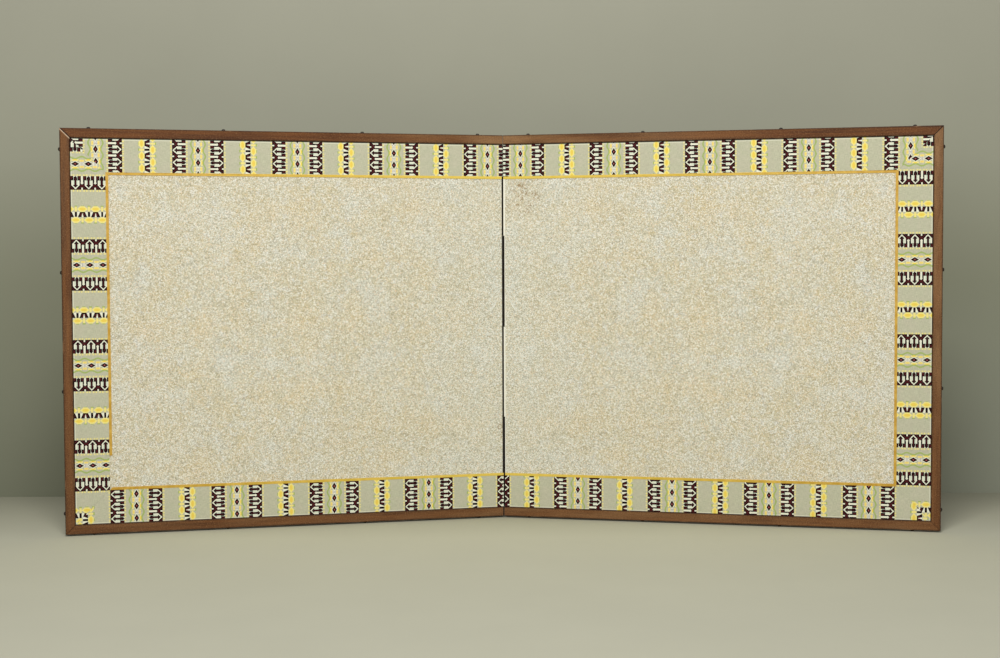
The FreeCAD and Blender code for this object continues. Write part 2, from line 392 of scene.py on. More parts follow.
def speckled_colour(w, place):
    fibres = w.use(FIBRES, place)
    pick, tone, _ = w.split(w.cells(place, 560.0))
    crumbs = w.noise(place, 1300.0, detail=2.0, rough=0.7)
    patches = w.noise(place, 55.0, detail=3.0, rough=0.6)
    tints = w.noise(w.stretch(place, (1.0, 1.0, -1.0)), 70.0, detail=3.0, rough=0.6)
    broad = w.noise(place, 13.0, detail=4.0, rough=0.6)
    colour = w.paint((0.59, 0.53, 0.335, 1), (0.64, 0.605, 0.45, 1), fibres["Clouds"])
    colour = w.paint(colour, (0.66, 0.56, 0.3, 1), w.ramp(patches, 0.52, 0.68, 0.0, 0.6))
    colour = w.paint(colour, (0.69, 0.68, 0.61, 1), w.ramp(tints, 0.54, 0.68, 0.0, 0.8))
    colour = w.paint(colour, (0.7, 0.56, 0.3, 1), w.ramp(broad, 0.5, 0.66, 0.0, 0.55))
    colour = w.paint(colour, (0.65, 0.655, 0.56, 1), w.ramp(broad, 0.48, 0.34, 0.0, 0.75))
    along_face = w.split(place)[0]
    colour = w.paint(colour, (0.63, 0.65, 0.54, 1), w.ramp(along_face, 0.22, 0.0, 0.0, 0.45))
    colour = w.paint(colour, (0.26, 0.21, 0.11, 1), w.times(w.less(pick, 0.22), 0.52))
    colour = w.paint(colour, (0.98, 0.97, 0.88, 1), w.times(w.more(pick, 0.72), 0.6))
    colour = w.paint(colour, (0.86, 0.62, 0.36, 1), w.times(w.more(tone, 0.88), 0.5))
    colour = w.paint(colour, (0.2, 0.16, 0.08, 1), w.ramp(crumbs, 0.54, 0.7, 0.0, 0.75))
    colour = w.paint(colour, (1.0, 0.99, 0.93, 1), w.ramp(crumbs, 0.46, 0.3, 0.0, 0.75))
    return colour, w.add(w.times(pick, 0.6), fibres["Fibres"])


def speckled_paper(name, side):
    material, w, shader = new_material(name, rough=0.65, Specular_IOR_Level=0.3)
    place = w.told("own")
    colour, height = speckled_colour(w, place)
    if side == "right":
        near = w.ramp(w.distance(place, FRECKLES), FRECKLE_REACH * 0.5, FRECKLE_REACH, 1.0, 0.0)
        dots = w.noise(place, 330.0, detail=2.0, rough=0.5)
        blots = w.ramp(w.noise(place, 60.0, detail=2.0), 0.4, 0.6)
        colour = w.paint(colour, RUST, w.times(w.both(near, blots, w.ramp(dots, 0.5, 0.6)), 0.9))
        marks = RIGHT_MARKS
    else:
        ring = w.size(w.sub(w.distance(place, LEFT_RING[0]), LEFT_RING[1]))
        colour = w.paint(colour, RUST, w.ramp(ring, 0.0004, 0.0011, 0.75, 0.0))
        marks = LEFT_MARKS
    for point, radius in marks:
        spot = w.ramp(w.distance(place, point), radius * 0.5, radius, 0.9, 0.0)
        colour = w.paint(colour, RUST, spot)
    across_face, behind, _ = w.split(place)
    if side == "right":
        # painted highlight: a pale line on the right panel's turned edge at the fold
        fold_edge_highlight = w.both(w.less(across_face, low_u + 0.0018), w.less(behind, RECESS + 0.0008))
        colour = w.paint(colour, (0.95, 0.92, 0.78, 1), w.times(fold_edge_highlight, 0.8))
    else:
        # painted shade on the left panel's edge at the fold
        colour = w.paint(colour, FOLD_SHADE, w.less(across_face, low_u + 0.0005))
    # painted shade on the paper deep in the fold, on both panels
    colour = w.paint(colour, FOLD_SHADE, w.more(behind, RECESS + 0.0005))
    coat(w, shader, colour, height, 0.25, 0.0003)
    return material


# %% [markdown]
# ### Plain papers, core wood, gilt and nails
# The plain papers and the core wood are seen only at the back, in the open fold or not at
# all, but a piece taken off the bench should still look right.


# %% Plain papers and core wood
def plain_paper(name, pale, deep, rough=0.8):
    material, w, shader = new_material(name, rough=rough)
    fibres = w.use(FIBRES, w.object())
    colour = w.paint(deep, pale, fibres["Clouds"])
    colour = w.paint(colour, deep, w.ramp(fibres["Fibres"], 0.55, 0.95, 0.0, 0.5))
    coat(w, shader, colour, fibres["Fibres"], 0.25, 0.0004)
    return material


def core_wood(name, upright):
    material, w, shader = new_material(name, rough=0.7)
    inputs = {"Vector": w.object(), "Rotation": (0, math.pi / 2 if upright else 0, 0)}
    grain = w.use(GRAIN, w.wired("ShaderNodeMapping", "Vector", inputs))
    colour = w.paint((0.42, 0.27, 0.14, 1), (0.6, 0.44, 0.26, 1), grain["Streaks"])
    colour = w.paint(colour, (0.3, 0.18, 0.09, 1), w.times(grain["Pores"], 0.4))
    coat(w, shader, colour, grain["Streaks"], 0.3, 0.0004)
    return material


# %% Gilt strip and nails
def gilt():
    material, w, shader = new_material("gold_trim", rough=0.42, Metallic=0.15)
    place = w.told("own")
    rub = w.noise(w.stretch(place, (60.0, 60.0, 60.0)), 1.0, detail=4.0)
    specks = w.noise(place, 900.0, detail=3.0)
    # painted highlight: the gilt turns brighter and yellower towards the fold
    kept = w.ramp(w.split(place)[0], 0.8, 0.03)
    colour = w.paint((0.53, 0.29, 0.016, 1), (0.76, 0.56, 0.065, 1), kept)
    colour = w.paint(colour, (0.9, 0.62, 0.14, 1), w.ramp(rub, 0.4, 0.7, 0.0, 0.5))
    colour = w.paint(colour, (0.42, 0.24, 0.05, 1), w.ramp(specks, 0.58, 0.72, 0.0, 0.5))
    w.feed(shader.inputs["Roughness"], w.ramp(rub, 0.3, 0.7, 0.34, 0.55))
    coat(w, shader, colour, specks, 0.3, 0.0002)
    return material


def nail_metal():
    material, w, shader = new_material("nail_metal", rough=0.42, Specular_IOR_Level=0.35)
    place = w.object()
    dents = w.noise(place, 500.0, detail=2.0)
    patches = w.noise(place, 260.0, detail=3.0)
    colour = w.paint((0.012, 0.01, 0.009, 1), (0.045, 0.028, 0.018, 1), w.ramp(patches, 0.5, 0.7))
    w.feed(shader.inputs["Roughness"], w.ramp(patches, 0.3, 0.7, 0.3, 0.55))
    coat(w, shader, colour, dents, 0.4, 0.0003)
    return material


# %% [markdown]
# ### Woven border cloth
# The cloth's figures repeat along and across it. Each repeat along has, in turn: a narrow
# zigzag band with yellow tufts, plain ground, a dark comb-and-arrow band, a fine diamond band,
# and the comb-and-arrow band again, mirrored. They are drawn from plain geometric masks on the
# strip's own coordinates, in millimetres. These are snapped to the threads first, which gives
# every figure the small steps of weaving.

# %% Border cloth: repeats and colours
REPEAT_ALONG = 201.6
REPEAT_ACROSS = 24.9
THREAD = 0.55
GROUND = (0.455, 0.455, 0.318, 1)
GROUND_PALE = (0.59, 0.58, 0.42, 1)
BLACK = (0.008, 0.002, 0.002, 1)
MAROON = (0.075, 0.008, 0.009, 1)
ROSE = (0.42, 0.13, 0.12, 1)
WHITE = (0.86, 0.85, 0.68, 1)
MINT = (0.62, 0.72, 0.56, 1)
YELLOW = (0.88, 0.66, 0.085, 1)
PALE_YELLOW = (0.9, 0.78, 0.26, 1)
AMBER = (0.9, 0.56, 0.13, 1)
LEAF = (0.33, 0.45, 0.08, 1)
LILAC = (0.43, 0.4, 0.39, 1)


def snapped(w, value):
    return w.times(w.add(w.floor(w.over(value, THREAD)), 0.5), THREAD)


def folded(w, value, repeat):
    """Distance from the nearest whole repeat, from minus a half to a half of it."""
    return w.sub(w.fraction(w.add(w.over(value, repeat), 0.5)), 0.5)


def cone(w, a, a_reach, b, b_reach):
    """One inside a lozenge of those half diagonals."""
    reach = w.add(w.over(a, a_reach), w.over(b, b_reach))
    return w.less(reach, 1.0)


def oval(w, a, a_reach, b, b_reach):
    across = w.power(w.over(a, a_reach), 2.0)
    along = w.power(w.over(b, b_reach), 2.0)
    return w.less(w.add(across, along), 1.0)


# %% Border cloth: comb-and-arrow band
def arrow_band(w, colour, arrow, tooth, depth):
    """arrow and tooth are the distances from the arrow and from the gap between two teeth,
    as shares of the repeat. depth runs from 0 on the comb side to 1 on the lattice side."""
    inside = w.between(depth, 0.0, 1.0)
    heart = w.both(w.less(depth, 0.24), w.between(arrow, 0.25, 0.38))
    colour = w.paint(colour, BLACK, inside)
    colour = w.paint(colour, MAROON, w.times(inside, heart))
    falling = w.less(w.size(w.sub(w.add(depth, arrow), 1.16)), 0.05)
    rising = w.less(w.size(w.sub(w.sub(depth, arrow), 0.27)), 0.05)
    threads = w.both(inside, w.more(depth, 0.56), w.either(falling, rising))
    colour = w.paint(colour, MAROON, threads)
    chevron = w.sub(0.97, arrow)
    hexagon = w.both(w.less(arrow, 0.3), w.more(depth, 0.31), w.less(depth, chevron))
    colour = w.paint(colour, WHITE, w.times(inside, hexagon))
    inner = w.both(w.between(arrow, 0.12, 0.23), w.between(depth, 0.32, 0.6))
    colour = w.paint(colour, MINT, w.times(w.times(inside, inner), 0.7))
    slope = w.sub(depth, 0.015)
    crest = w.both(w.less(arrow, 0.165), w.less(depth, 0.29))
    colour = w.paint(colour, WHITE, w.times(inside, crest))
    shaft = w.both(w.less(arrow, 0.092), w.between(depth, 0.04, 0.8))
    upper = w.both(w.less(arrow, w.add(slope, 0.04)), w.less(depth, 0.29), w.less(arrow, 0.135))
    point = w.both(w.less(arrow, w.sub(0.86, depth)), w.more(depth, 0.64), w.less(arrow, 0.18))
    colour = w.paint(colour, BLACK, w.times(inside, w.either(shaft, w.either(upper, point))))
    core = w.both(w.less(arrow, 0.045), w.between(depth, 0.15, 0.72))
    colour = w.paint(colour, MAROON, w.times(w.times(inside, core), 0.6))
    gap = w.both(w.less(tooth, 0.07), w.less(depth, 0.5))
    knot = cone(w, tooth, 0.12, w.size(w.sub(depth, 0.51)), 0.1)
    foot = w.both(w.less(tooth, 0.055), w.more(depth, 0.85))
    pale = w.both(inside, w.either(gap, w.either(knot, foot)))
    return w.paint(colour, WHITE, pale), inside


# %% Border cloth: zigzag band with its tufts
def zigzag_band(w, colour, arrow, tooth, place):
    """place is the distance along the cloth from the band's middle, in millimetres."""
    rise = w.over(place, 5.2)
    inside = w.less(w.size(rise), 1.0)
    block = w.less(tooth, w.add(w.times(rise, 0.09), 0.275))
    notch = w.both(w.less(tooth, w.add(w.times(rise, 0.04), 0.035)), w.more(rise, -0.5))
    core = w.both(w.less(tooth, w.add(w.times(rise, 0.06), 0.17)), w.less(w.size(rise), 0.55))
    bar = w.both(w.less(arrow, 0.085), w.less(w.size(rise), 0.96))
    colour = w.paint(colour, WHITE, inside)
    colour = w.paint(colour, BLACK, w.times(inside, w.either(block, bar)))
    colour = w.paint(colour, MAROON, w.times(inside, core))
    colour = w.paint(colour, WHITE, w.times(inside, notch))
    before = w.size(w.add(place, 10.9))
    after = w.size(w.sub(place, 10.9))
    beyond = w.between(w.size(place), 15.0, 18.0)
    tips = w.both(beyond, w.either(w.less(tooth, 0.12), w.less(arrow, 0.12)))
    colour = w.paint(colour, LEAF, w.times(tips, 0.75))
    small = w.either(
        w.both(w.less(arrow, 0.085), w.less(before, 4.6)),
        w.both(w.less(tooth, 0.085), w.less(after, 4.6)),
    )
    colour = w.paint(colour, PALE_YELLOW, small)
    outside = w.more(w.size(place), 5.2)
    large = w.either(cone(w, tooth, 0.42, before, 9.0), cone(w, arrow, 0.42, after, 9.0))
    large = w.both(large, w.less(w.size(place), 16.6), outside)
    large = w.both(large, w.either(w.less(tooth, 0.28), w.less(arrow, 0.28)))
    colour = w.paint(colour, PALE_YELLOW, large)
    middle = w.either(oval(w, tooth, 0.24, before, 3.0), oval(w, arrow, 0.24, after, 3.0))
    colour = w.paint(colour, YELLOW, w.times(middle, 0.9))
    amber = w.either(oval(w, tooth, 0.12, before, 1.8), oval(w, arrow, 0.12, after, 1.8))
    colour = w.paint(colour, AMBER, w.times(amber, 0.35))
    return colour, w.either(inside, w.either(small, large))


# %% Border cloth: diamond band
def diamond_band(w, colour, arrow, tooth, away):
    """away is the distance along the cloth from the row of diamonds, in millimetres."""
    swing = w.cosine(w.times(arrow, 2 * math.pi))
    wave_at = w.sub(12.2, w.times(swing, 2.2))
    wave = w.less(w.size(w.sub(away, wave_at)), 1.7)
    colour = w.paint(colour, LEAF, w.times(wave, 0.75))
    roof = w.less(w.size(w.sub(away, w.add(w.times(arrow, 5.0), 6.4))), 1.5)
    colour = w.paint(colour, PALE_YELLOW, w.both(roof, w.less(arrow, 0.27)))
    colour = w.paint(colour, YELLOW, w.both(w.less(arrow, 0.1), w.between(away, 6.8, 9.2)))
    knots = w.both(w.less(tooth, 0.17), w.between(away, 4.0, 8.2))
    colour = w.paint(colour, PALE_YELLOW, knots)
    colour = w.paint(colour, AMBER, w.both(w.less(tooth, 0.1), w.between(away, 4.6, 7.4), 0.6))
    bits = w.both(w.less(tooth, 0.2), w.less(away, 4.0))
    stripe = w.less(w.fraction(w.add(w.over(tooth, 0.1), 0.25)), 0.5)
    colour = w.paint(colour, LILAC, bits)
    colour = w.paint(colour, WHITE, w.times(bits, stripe))
    colour = w.paint(colour, WHITE, cone(w, arrow, 0.42, away, 6.4))
    colour = w.paint(colour, BLACK, cone(w, arrow, 0.325, away, 4.9))
    colour = w.paint(colour, MAROON, cone(w, arrow, 0.16, away, 2.5))
    colour = w.paint(colour, ROSE, cone(w, arrow, 0.07, away, 1.4))
    return colour, w.less(away, 8.0)


# %% Border cloth: the whole repeat
def border_group():
    outputs = [("Color", "Color"), ("Raised", "Float")]
    group, w, given, out = new_group("woven border", outputs)
    across_m, along_m, edge_m = w.split(given.outputs["Vector"])
    across = snapped(w, w.times(across_m, 1000.0))
    along = snapped(w, w.times(along_m, 1000.0))
    arrow = w.size(folded(w, across, REPEAT_ACROSS))
    tooth = w.sub(0.5, arrow)
    place = w.times(folded(w, along, REPEAT_ALONG), REPEAT_ALONG)
    away = w.sub(REPEAT_ALONG / 2, w.size(place))
    weft = w.noise(w.stretch(given.outputs["Vector"], (120.0, 1400.0, 1.0)), 1.0, detail=2.0)
    warp = w.noise(w.stretch(given.outputs["Vector"], (1400.0, 120.0, 1.0)), 1.0, detail=2.0)
    slub = w.ramp(w.add(weft, warp), 0.82, 1.18)
    colour = w.paint(GROUND, GROUND_PALE, slub)
    blush = w.ramp(w.noise(given.outputs["Vector"], 40.0), 0.4, 0.7, 0.0, 0.18)
    colour = w.paint(colour, (0.62, 0.52, 0.44, 1), blush)
    dashes = w.less(w.fraction(w.times(w.add(arrow, 0.1), 5.0)), 0.5)
    near_line = w.less(w.size(w.sub(away, 22.4)), 1.7)
    far_line = w.less(w.size(w.sub(away, 53.6)), 1.7)
    dotted = w.either(near_line, far_line)
    colour = w.paint(colour, PALE_YELLOW, w.times(dotted, w.add(w.times(dashes, 0.7), 0.2)))
    selvedge = w.between(edge_m, 0.0008, 0.0028)
    colour = w.paint(colour, (0.8, 0.79, 0.62, 1), w.times(selvedge, 0.7))
    colour, first = diamond_band(w, colour, arrow, tooth, away)
    depth = w.over(w.sub(away, 24.4), 27.2)
    colour, second = arrow_band(w, colour, arrow, tooth, depth)
    colour, third = zigzag_band(w, colour, arrow, tooth, place)
    # painted shade: a dark line along the frame's inner edge, as if the frame shaded the cloth
    colour = w.paint(colour, BLACK, w.ramp(edge_m, 0.0004, 0.0011, 0.85, 0.0))
    ribs = w.pingpong(w.times(along_m, 1000.0), THREAD / 2)
    wales = w.pingpong(w.times(across_m, 1000.0), THREAD / 2)
    weave = w.add(w.times(ribs, 1.2), w.times(wales, 1.2))
    figure = w.either(first, w.either(second, third))
    w.feed(out.inputs["Color"], colour)
    w.feed(out.inputs["Raised"], w.add(w.times(figure, 0.8), weave))
    return group


def brocade():
    material, w, shader = new_material("brocade", rough=0.75, Specular_IOR_Level=0.15)
    pattern = w.use(border_group(), w.told("own"))
    coat(w, shader, pattern["Color"], pattern["Raised"], 0.35, 0.0003)
    return material


# %% Make every finish
FINISH = {
    "left_wood": frame_wood("frame_wood_left", True),
    "right_wood": frame_wood("frame_wood_right", False),
    "core_upright": core_wood("core_wood_upright", True),
    "core_level": core_wood("core_wood_level", False),
    "left_face": speckled_paper("face_paper_left", "left"),
    "right_face": speckled_paper("face_paper_right", "right"),
    "under_paper": plain_paper("under_paper", (0.6, 0.55, 0.44, 1), (0.48, 0.42, 0.31, 1)),
    "back_paper": plain_paper("back_paper", (0.33, 0.265, 0.165, 1), (0.275, 0.215, 0.13, 1)),
    # dark brown hinge paper, made darker still as painted shade for where it shows deep in the fold
    "hinge_paper": plain_paper("hinge_paper", (0.055, 0.04, 0.024, 1), (0.026, 0.018, 0.011, 1)),
    "gilt": gilt(),
    "nail": nail_metal(),
    "brocade": brocade(),
}
print("made", len(FINISH), "finishes")

# %% [markdown]
# ## Pieces
# A new piece is modelled flat with bmesh operators. When it is finished, each vertex is given
# its own coordinates for the finish to read, and the panel's matrix folds it into place.


# %% From the bench to the standing screen
def carry(mesh, name, vectors):
    """Keeps one vector per vertex for a finish to read."""
    kept = mesh.attributes.new(name, "FLOAT_VECTOR", "POINT")
    kept.data.foreach_set("vector", [number for vector in vectors for number in vector])


def to_object(bm, name, materials):
    mesh = bpy.data.meshes.new(name)
    bm.to_mesh(mesh)
    bm.free()
    for material in materials:
        mesh.materials.append(material)
    made = bpy.data.objects.new(name, mesh)
    bpy.context.collection.objects.link(made)
    return made


def make_piece(bm, name, finishes, slot):
    piece = to_object(bm, name, [FINISH[finish] for finish in finishes])
    return piece


def settle(bm, name, side, finish, slot, **told):
    """Folds a flat piece into place. Each told function turns a vertex's place on the flat
    panel into the coordinates that its finish reads under that name."""
    facts = {label: [tell(vert.co) for vert in bm.verts] for label, tell in told.items()}
    bm.transform(to_place[side])
    if side == "left":
        bmesh.ops.reverse_faces(bm, faces=bm.faces)
    piece = make_piece(bm, name, [finish], slot)
    for label, vectors in facts.items():
        carry(piece.data, label, vectors)
    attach(piece, f"{side}_panel")
    return piece


def box_mesh(low, high):
    """A bmesh box between two corners of the flat panel."""
    bm = bmesh.new()
    bmesh.ops.create_cube(bm, size=1.0)
    low, high = Vector(low), Vector(high)
    bmesh.ops.scale(bm, vec=high - low, verts=bm.verts)
    bmesh.ops.translate(bm, vec=(low + high) / 2, verts=bm.verts)
    return bm


def grid_mesh(cells, size, place, upright=True):
    """A flat grid of that size about a place, standing up or lying down."""
    bm = bmesh.new()
    bmesh.ops.create_grid(bm, x_segments=cells[0], y_segments=cells[1], size=0.5)
    bmesh.ops.scale(bm, vec=(*size, 1), verts=bm.verts)
    if upright:
        bmesh.ops.rotate(bm, matrix=Matrix.Rotation(math.pi / 2, 3, "X"), verts=bm.verts)
    bmesh.ops.translate(bm, vec=place, verts=bm.verts)
    return bm


def sweep_up(points, rise, first_cuts=0):
    """Draws a section through the points and extrudes it upwards. Its first stretch can be
    cut into shorter ones."""
    bm = bmesh.new()
    verts = [bm.verts.new(point) for point in points]
    edges = [bm.edges.new(pair) for pair in zip(verts, verts[1:])]
    if first_cuts:
        bmesh.ops.subdivide_edges(bm, edges=edges[:1], cuts=first_cuts)
    swept = bmesh.ops.extrude_edge_only(bm, edges=bm.edges[:])
    moved = [item for item in swept["geom"] if isinstance(item, bmesh.types.BMVert)]
    bmesh.ops.translate(bm, vec=(0, 0, rise), verts=moved)
    return bm


def thicken(bm, thickness):
    """Turns an open sheet to face the front and gives it its thickness."""
    bmesh.ops.recalc_face_normals(bm, faces=bm.faces)
    front = min(bm.faces, key=lambda face: face.calc_center_median().y)
    if front.normal.y > 0:
        bmesh.ops.reverse_faces(bm, faces=bm.faces)
    bmesh.ops.solidify(bm, geom=bm.faces, thickness=thickness)


def cut_off(bm, point, away, close=True):
    """Cuts the mesh by a plane, drops what lies on its away side and may close the cut."""
    everything = [*bm.verts, *bm.edges, *bm.faces]
    plane = {"plane_co": point, "plane_no": away}
    cut = bmesh.ops.bisect_plane(bm, geom=everything, clear_outer=True, **plane)
    rim = [item for item in cut["geom_cut"] if isinstance(item, bmesh.types.BMEdge)]
    if close and any(edge.is_boundary for edge in rim):
        bmesh.ops.edgeloop_fill(bm, edges=[edge for edge in rim if edge.is_boundary])


def bevel(bm, edges, width, segments):
    shape = {"segments": segments, "profile": 0.5, "affect": "EDGES", "material": -1}
    bmesh.ops.bevel(bm, geom=edges, offset=width, **shape)


def soften(bm, width):
    """Rounds every sharp edge of the mesh."""
    sharp = [edge for edge in bm.edges if edge.calc_face_angle(0.0) > math.radians(30)]
    bevel(bm, sharp, width, 2)


def mitred(starts, outer, low, high, width, gap):
    """The bottom, top and side pieces of a border with mitred corners: for each, its two
    (u, z) corners and its cuts. The starts are the fold ends of the first two."""
    bottom_cut = ((outer - gap, 0, low), (1, 0, 1))
    top_cut = ((outer - gap, 0, high), (1, 0, -1))
    side_cuts = [((outer, 0, low + gap), (-1, 0, -1)), ((outer, 0, high - gap), (-1, 0, 1))]
    return {
        "bottom": ((starts[0], low), (outer, low + width), [bottom_cut]),
        "top": ((starts[1], high - width), (outer, high), [top_cut]),
        "side": ((outer - width, low), (outer, high), side_cuts),
    }


# %% [markdown]
# ### The wooden frame
# A bar starts as a box. Its four long edges are rounded first, then the mitre is sawn at
# 45 degrees, and the sawn edges get only a hair of rounding, so the joint shows as a fine
# line. There is no bar at the fold.

# %% Frame bars
MITRE_SIDE = MITRE_GAP / math.sqrt(2)
SAWN_ROUNDING = 0.25 * MM
BAR_NAMES = {"bottom": "frame_bottom_rail", "top": "frame_top_rail", "side": "frame_outer_stile"}
BARS = mitred((END_GAP, END_GAP), PANEL_WIDTH, 0, PANEL_HEIGHT, FRAME_FACE, MITRE_SIDE)
# where each bar's grain starts, in metres
PLANK_START = {"bottom": 0.0, "top": 1.3, "side": 2.9}
LEFT_PLANK = 5.7
# dustiness at the start of each bar, and how much it grows over a metre
DUST = {
    "left_bottom": (0.62, -0.4),
    "left_top": (0.95, -2.6),
    "left_side": (0.25, 0.0),
    "right_bottom": (0.55, 0.0),
    "right_top": (1.0, -1.7),
    "right_side": (0.25, 1.05),
}


def frame_bar(low, high, along, mitres):
    bm = box_mesh((low[0], 0, low[1]), (high[0], FRAME_DEPTH, high[1]))
    long_edges = []
    for edge in bm.edges:
        run = (edge.verts[0].co - edge.verts[1].co).normalized()
        if abs(run[along]) > 0.99:
            long_edges.append(edge)
    bevel(bm, long_edges, FRAME_ROUNDING, 5)
    for point, away in mitres:
        cut_off(bm, point, away)
    soften(bm, SAWN_ROUNDING)
    return bm


def along_bar(side, part):
    """Place along the bar, depth, and distance from the outer face."""
    start = PLANK_START[part] + (LEFT_PLANK if side == "left" else 0.0)

    def own(p):
        if part == "side":
            return (p.z + start, p.y, PANEL_WIDTH - p.x)
        return (p.x + start, p.y, PANEL_HEIGHT - p.z if part == "top" else p.z)

    return own


def by_joints(side, part):
    """Signed distances from the planes of the bar's upper and lower joint, and its dustiness.
    A rail has one mitre, so its other joint is its end by the fold, painted black as shade."""

    def joint(p):
        from_side = PANEL_WIDTH - p.x
        upper = (from_side - (PANEL_HEIGHT - p.z)) / math.sqrt(2)
        lower = (from_side - p.z) / math.sqrt(2)
        start, slope = DUST[f"{side}_{part}"]
        dust = start + slope * (p.z if part == "side" else p.x)
        if part == "top":
            lower = p.x
        if part == "bottom":
            upper = p.x
        return (upper, lower, dust)

    return joint


for side in SIDES:
    for part, (low, high, mitres) in BARS.items():
        name = f"{side}_{BAR_NAMES[part]}"
        bm = frame_bar(low, high, 2 if part == "side" else 0, mitres)
        facts = {"own": along_bar(side, part), "joint": by_joints(side, part)}
        bar = settle(bm, f"{name}_wood", side, f"{side}_wood", "frame_wood", **facts)
        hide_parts(name)
print("frame bars", len(BARS) * 2)

# %% [markdown]
# ### The papered face
# The face paper turns round the panel's edge at the fold. So its section is a long straight
# line with a small round corner at the fold end, drawn once, extruded up the panel and given
# the thickness of paper. A shallow, slow ripple stands for paper pasted over a lattice.

# %% Face paper
CORNER = 1.0 * MM
FLAP = 9.0 * MM
CORNER_STEPS = 4
RIPPLE = 0.12 * MM
RIPPLE_FADE = 50.0 * MM


def face_section():
    """Section of the face paper, from the frame to the flap in the fold."""
    points = [Vector((high_u, RECESS, low_z)), Vector((low_u + CORNER, RECESS, low_z))]
    for step in range(1, CORNER_STEPS + 1):
        angle = math.pi / 2 * step / CORNER_STEPS
        u = low_u + CORNER - CORNER * math.sin(angle)
        v = RECESS + CORNER - CORNER * math.cos(angle)
        points.append(Vector((u, v, low_z)))
    points.append(Vector((low_u, RECESS + FLAP, low_z)))
    return points


def face_sheet():
    bm = sweep_up(face_section(), high_z - low_z, first_cuts=40)
    upright = [e for e in bm.edges if abs(e.verts[0].co.z - e.verts[1].co.z) > 0.1]
    bmesh.ops.subdivide_edges(bm, edges=upright, cuts=36, use_grid_fill=True)
    for vert in bm.verts:
        if vert.co.x > low_u + 2 * CORNER:
            inset = min(vert.co.x - low_u, high_u - vert.co.x)
            inset = min(inset, vert.co.z - low_z, high_z - vert.co.z)
            fade = min(1.0, inset / RIPPLE_FADE)
            vert.co.y += RIPPLE * fade * (0.5 + 0.5 * noise.noise(vert.co * 14.0))
    thicken(bm, SHEET)
    return bm


for side in SIDES:
    name = f"{side}_face_sheet"
    sheet = settle(face_sheet(), name, side, f"{side}_face", "face_paper", own=tuple)
    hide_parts(f"{side}_face_paper")
print("face paper from u", round(low_u, 4), "to", round(high_u, 4))

# %% [markdown]
# ### The woven border
# Three strips of cloth frame the field, cut to meet at 45 degrees at the outer corners. A
# strip is a grid, trimmed by the mitre plane, waved by a hair and pressed down at its edges,
# then given its thickness. The cloth runs to the right along the rails, down the left stile
# and up the right one. Its repeat starts somewhere else on each strip, as the strips were cut
# from one long band. Along the top the two panels' strips reach over the fold and meet.

# %% Where the pattern starts on each strip
# the first zigzag band along each strip and the first row of arrows across it, in mm
FIRST_FIGURES = {
    "left_top": (134.0, 21.7),
    "left_bottom": (63.6, 8.8),
    "left_side": (37.8, 9.9),
    "right_top": (138.9, 19.9),
    "right_bottom": (60.8, 17.2),
    "right_side": (41.9, 9.5),
}
# how far the stile strips were pulled, along and across, when they were pasted
PULLED = {"left": (1.0045, 1.023), "right": (1.0068, 1.023)}
# the painted shade line along the frame is wider at the top, under the top rail
TOP_SHADE = 0.9 * MM
CLOTH_LIFT = 0.45 * MM
CLOTH_THICKNESS = 0.25 * MM
CLOTH_WAVE = 0.08 * MM
PRESSED_RIM = 0.18 * MM
CELL = 8.0 * MM
MITRE_LINE = 0.1 * MM
CLOTH_MEETS = 0.05 * MM
STRIPS = mitred((low_u, CLOTH_MEETS), high_u, low_z, high_z, BORDER, MITRE_LINE)


# %% Border strips
def strip_mesh(low, high, mitres):
    """A trimmed strip between two (u, z) corners, in front of the face paper."""
    size = (high[0] - low[0], high[1] - low[1])
    cells = [max(8, round(length / CELL)) for length in size]
    centre = ((low[0] + high[0]) / 2, RECESS - CLOTH_LIFT, (low[1] + high[1]) / 2)
    bm = grid_mesh(cells, size, centre)
    for point, away in mitres:
        cut_off(bm, point, away, close=False)
    rim = {vert for edge in bm.edges if edge.is_boundary for vert in edge.verts}
    for vert in bm.verts:
        wave = CLOTH_WAVE * noise.noise(vert.co * 60.0)
        vert.co.y += PRESSED_RIM if vert in rim else wave
    bmesh.ops.solidify(bm, geom=bm.faces, thickness=-CLOTH_THICKNESS)
    return bm


def cloth_place(side, strip):
    """Gives across, along and distance from the frame, for a point of that strip."""
    first_zigzag, first_arrow = (figure * MM for figure in FIRST_FIGURES[f"{side}_{strip}"])
    outward = 1 if side == "right" else -1

    def own(p):
        if strip == "side":
            inset = high_u - p.x
            pulled_along, pulled_across = PULLED[side]
            across = (inset - first_arrow) / pulled_across
            return (across, outward * (p.z - first_zigzag) / pulled_along, inset)
        inset = high_z - p.z if strip == "top" else p.z - low_z
        shaded = TOP_SHADE if strip == "top" else 0.0
        return (inset - first_arrow, outward * (p.x - first_zigzag), inset - shaded)

    return own


for side in SIDES:
    for strip, (low, high, mitres) in STRIPS.items():
        bm = strip_mesh(low, high, mitres)
        area = sum(face.calc_area() for face in bm.faces) / 2
        place = cloth_place(side, strip)
        cloth = settle(bm, f"{side}_border_{strip}", side, "brocade", "brocade", own=place)
        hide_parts(f"{side}_brocade_{strip}")
        print(cloth.name, "area", round(area, 4), "square metres")

# %% [markdown]
# ### The gilt line
# A narrow gilt strip covers the border's inner edge. It is a flat bar with softened edges,
# mitred like the cloth. On the left panel its lower end by the corner has come away.

# %% Gilt strips
TRIM_THICKNESS = 0.8 * MM
TRIM_ROUNDING = 0.3 * MM
LOST_LENGTH = 70.0 * MM
trim_u = high_u - BORDER
trim_low, trim_high = low_z + BORDER, high_z - BORDER
TRIMS = mitred((low_u, low_u), trim_u, trim_low, trim_high, TRIM_WIDTH, 0.0)


def gilt_bar(low, high, mitres):
    bm = box_mesh((low[0], RECESS - TRIM_THICKNESS, low[1]), (high[0], RECESS, high[1]))
    for point, away in mitres:
        cut_off(bm, point, away)
    soften(bm, TRIM_ROUNDING)
    return bm


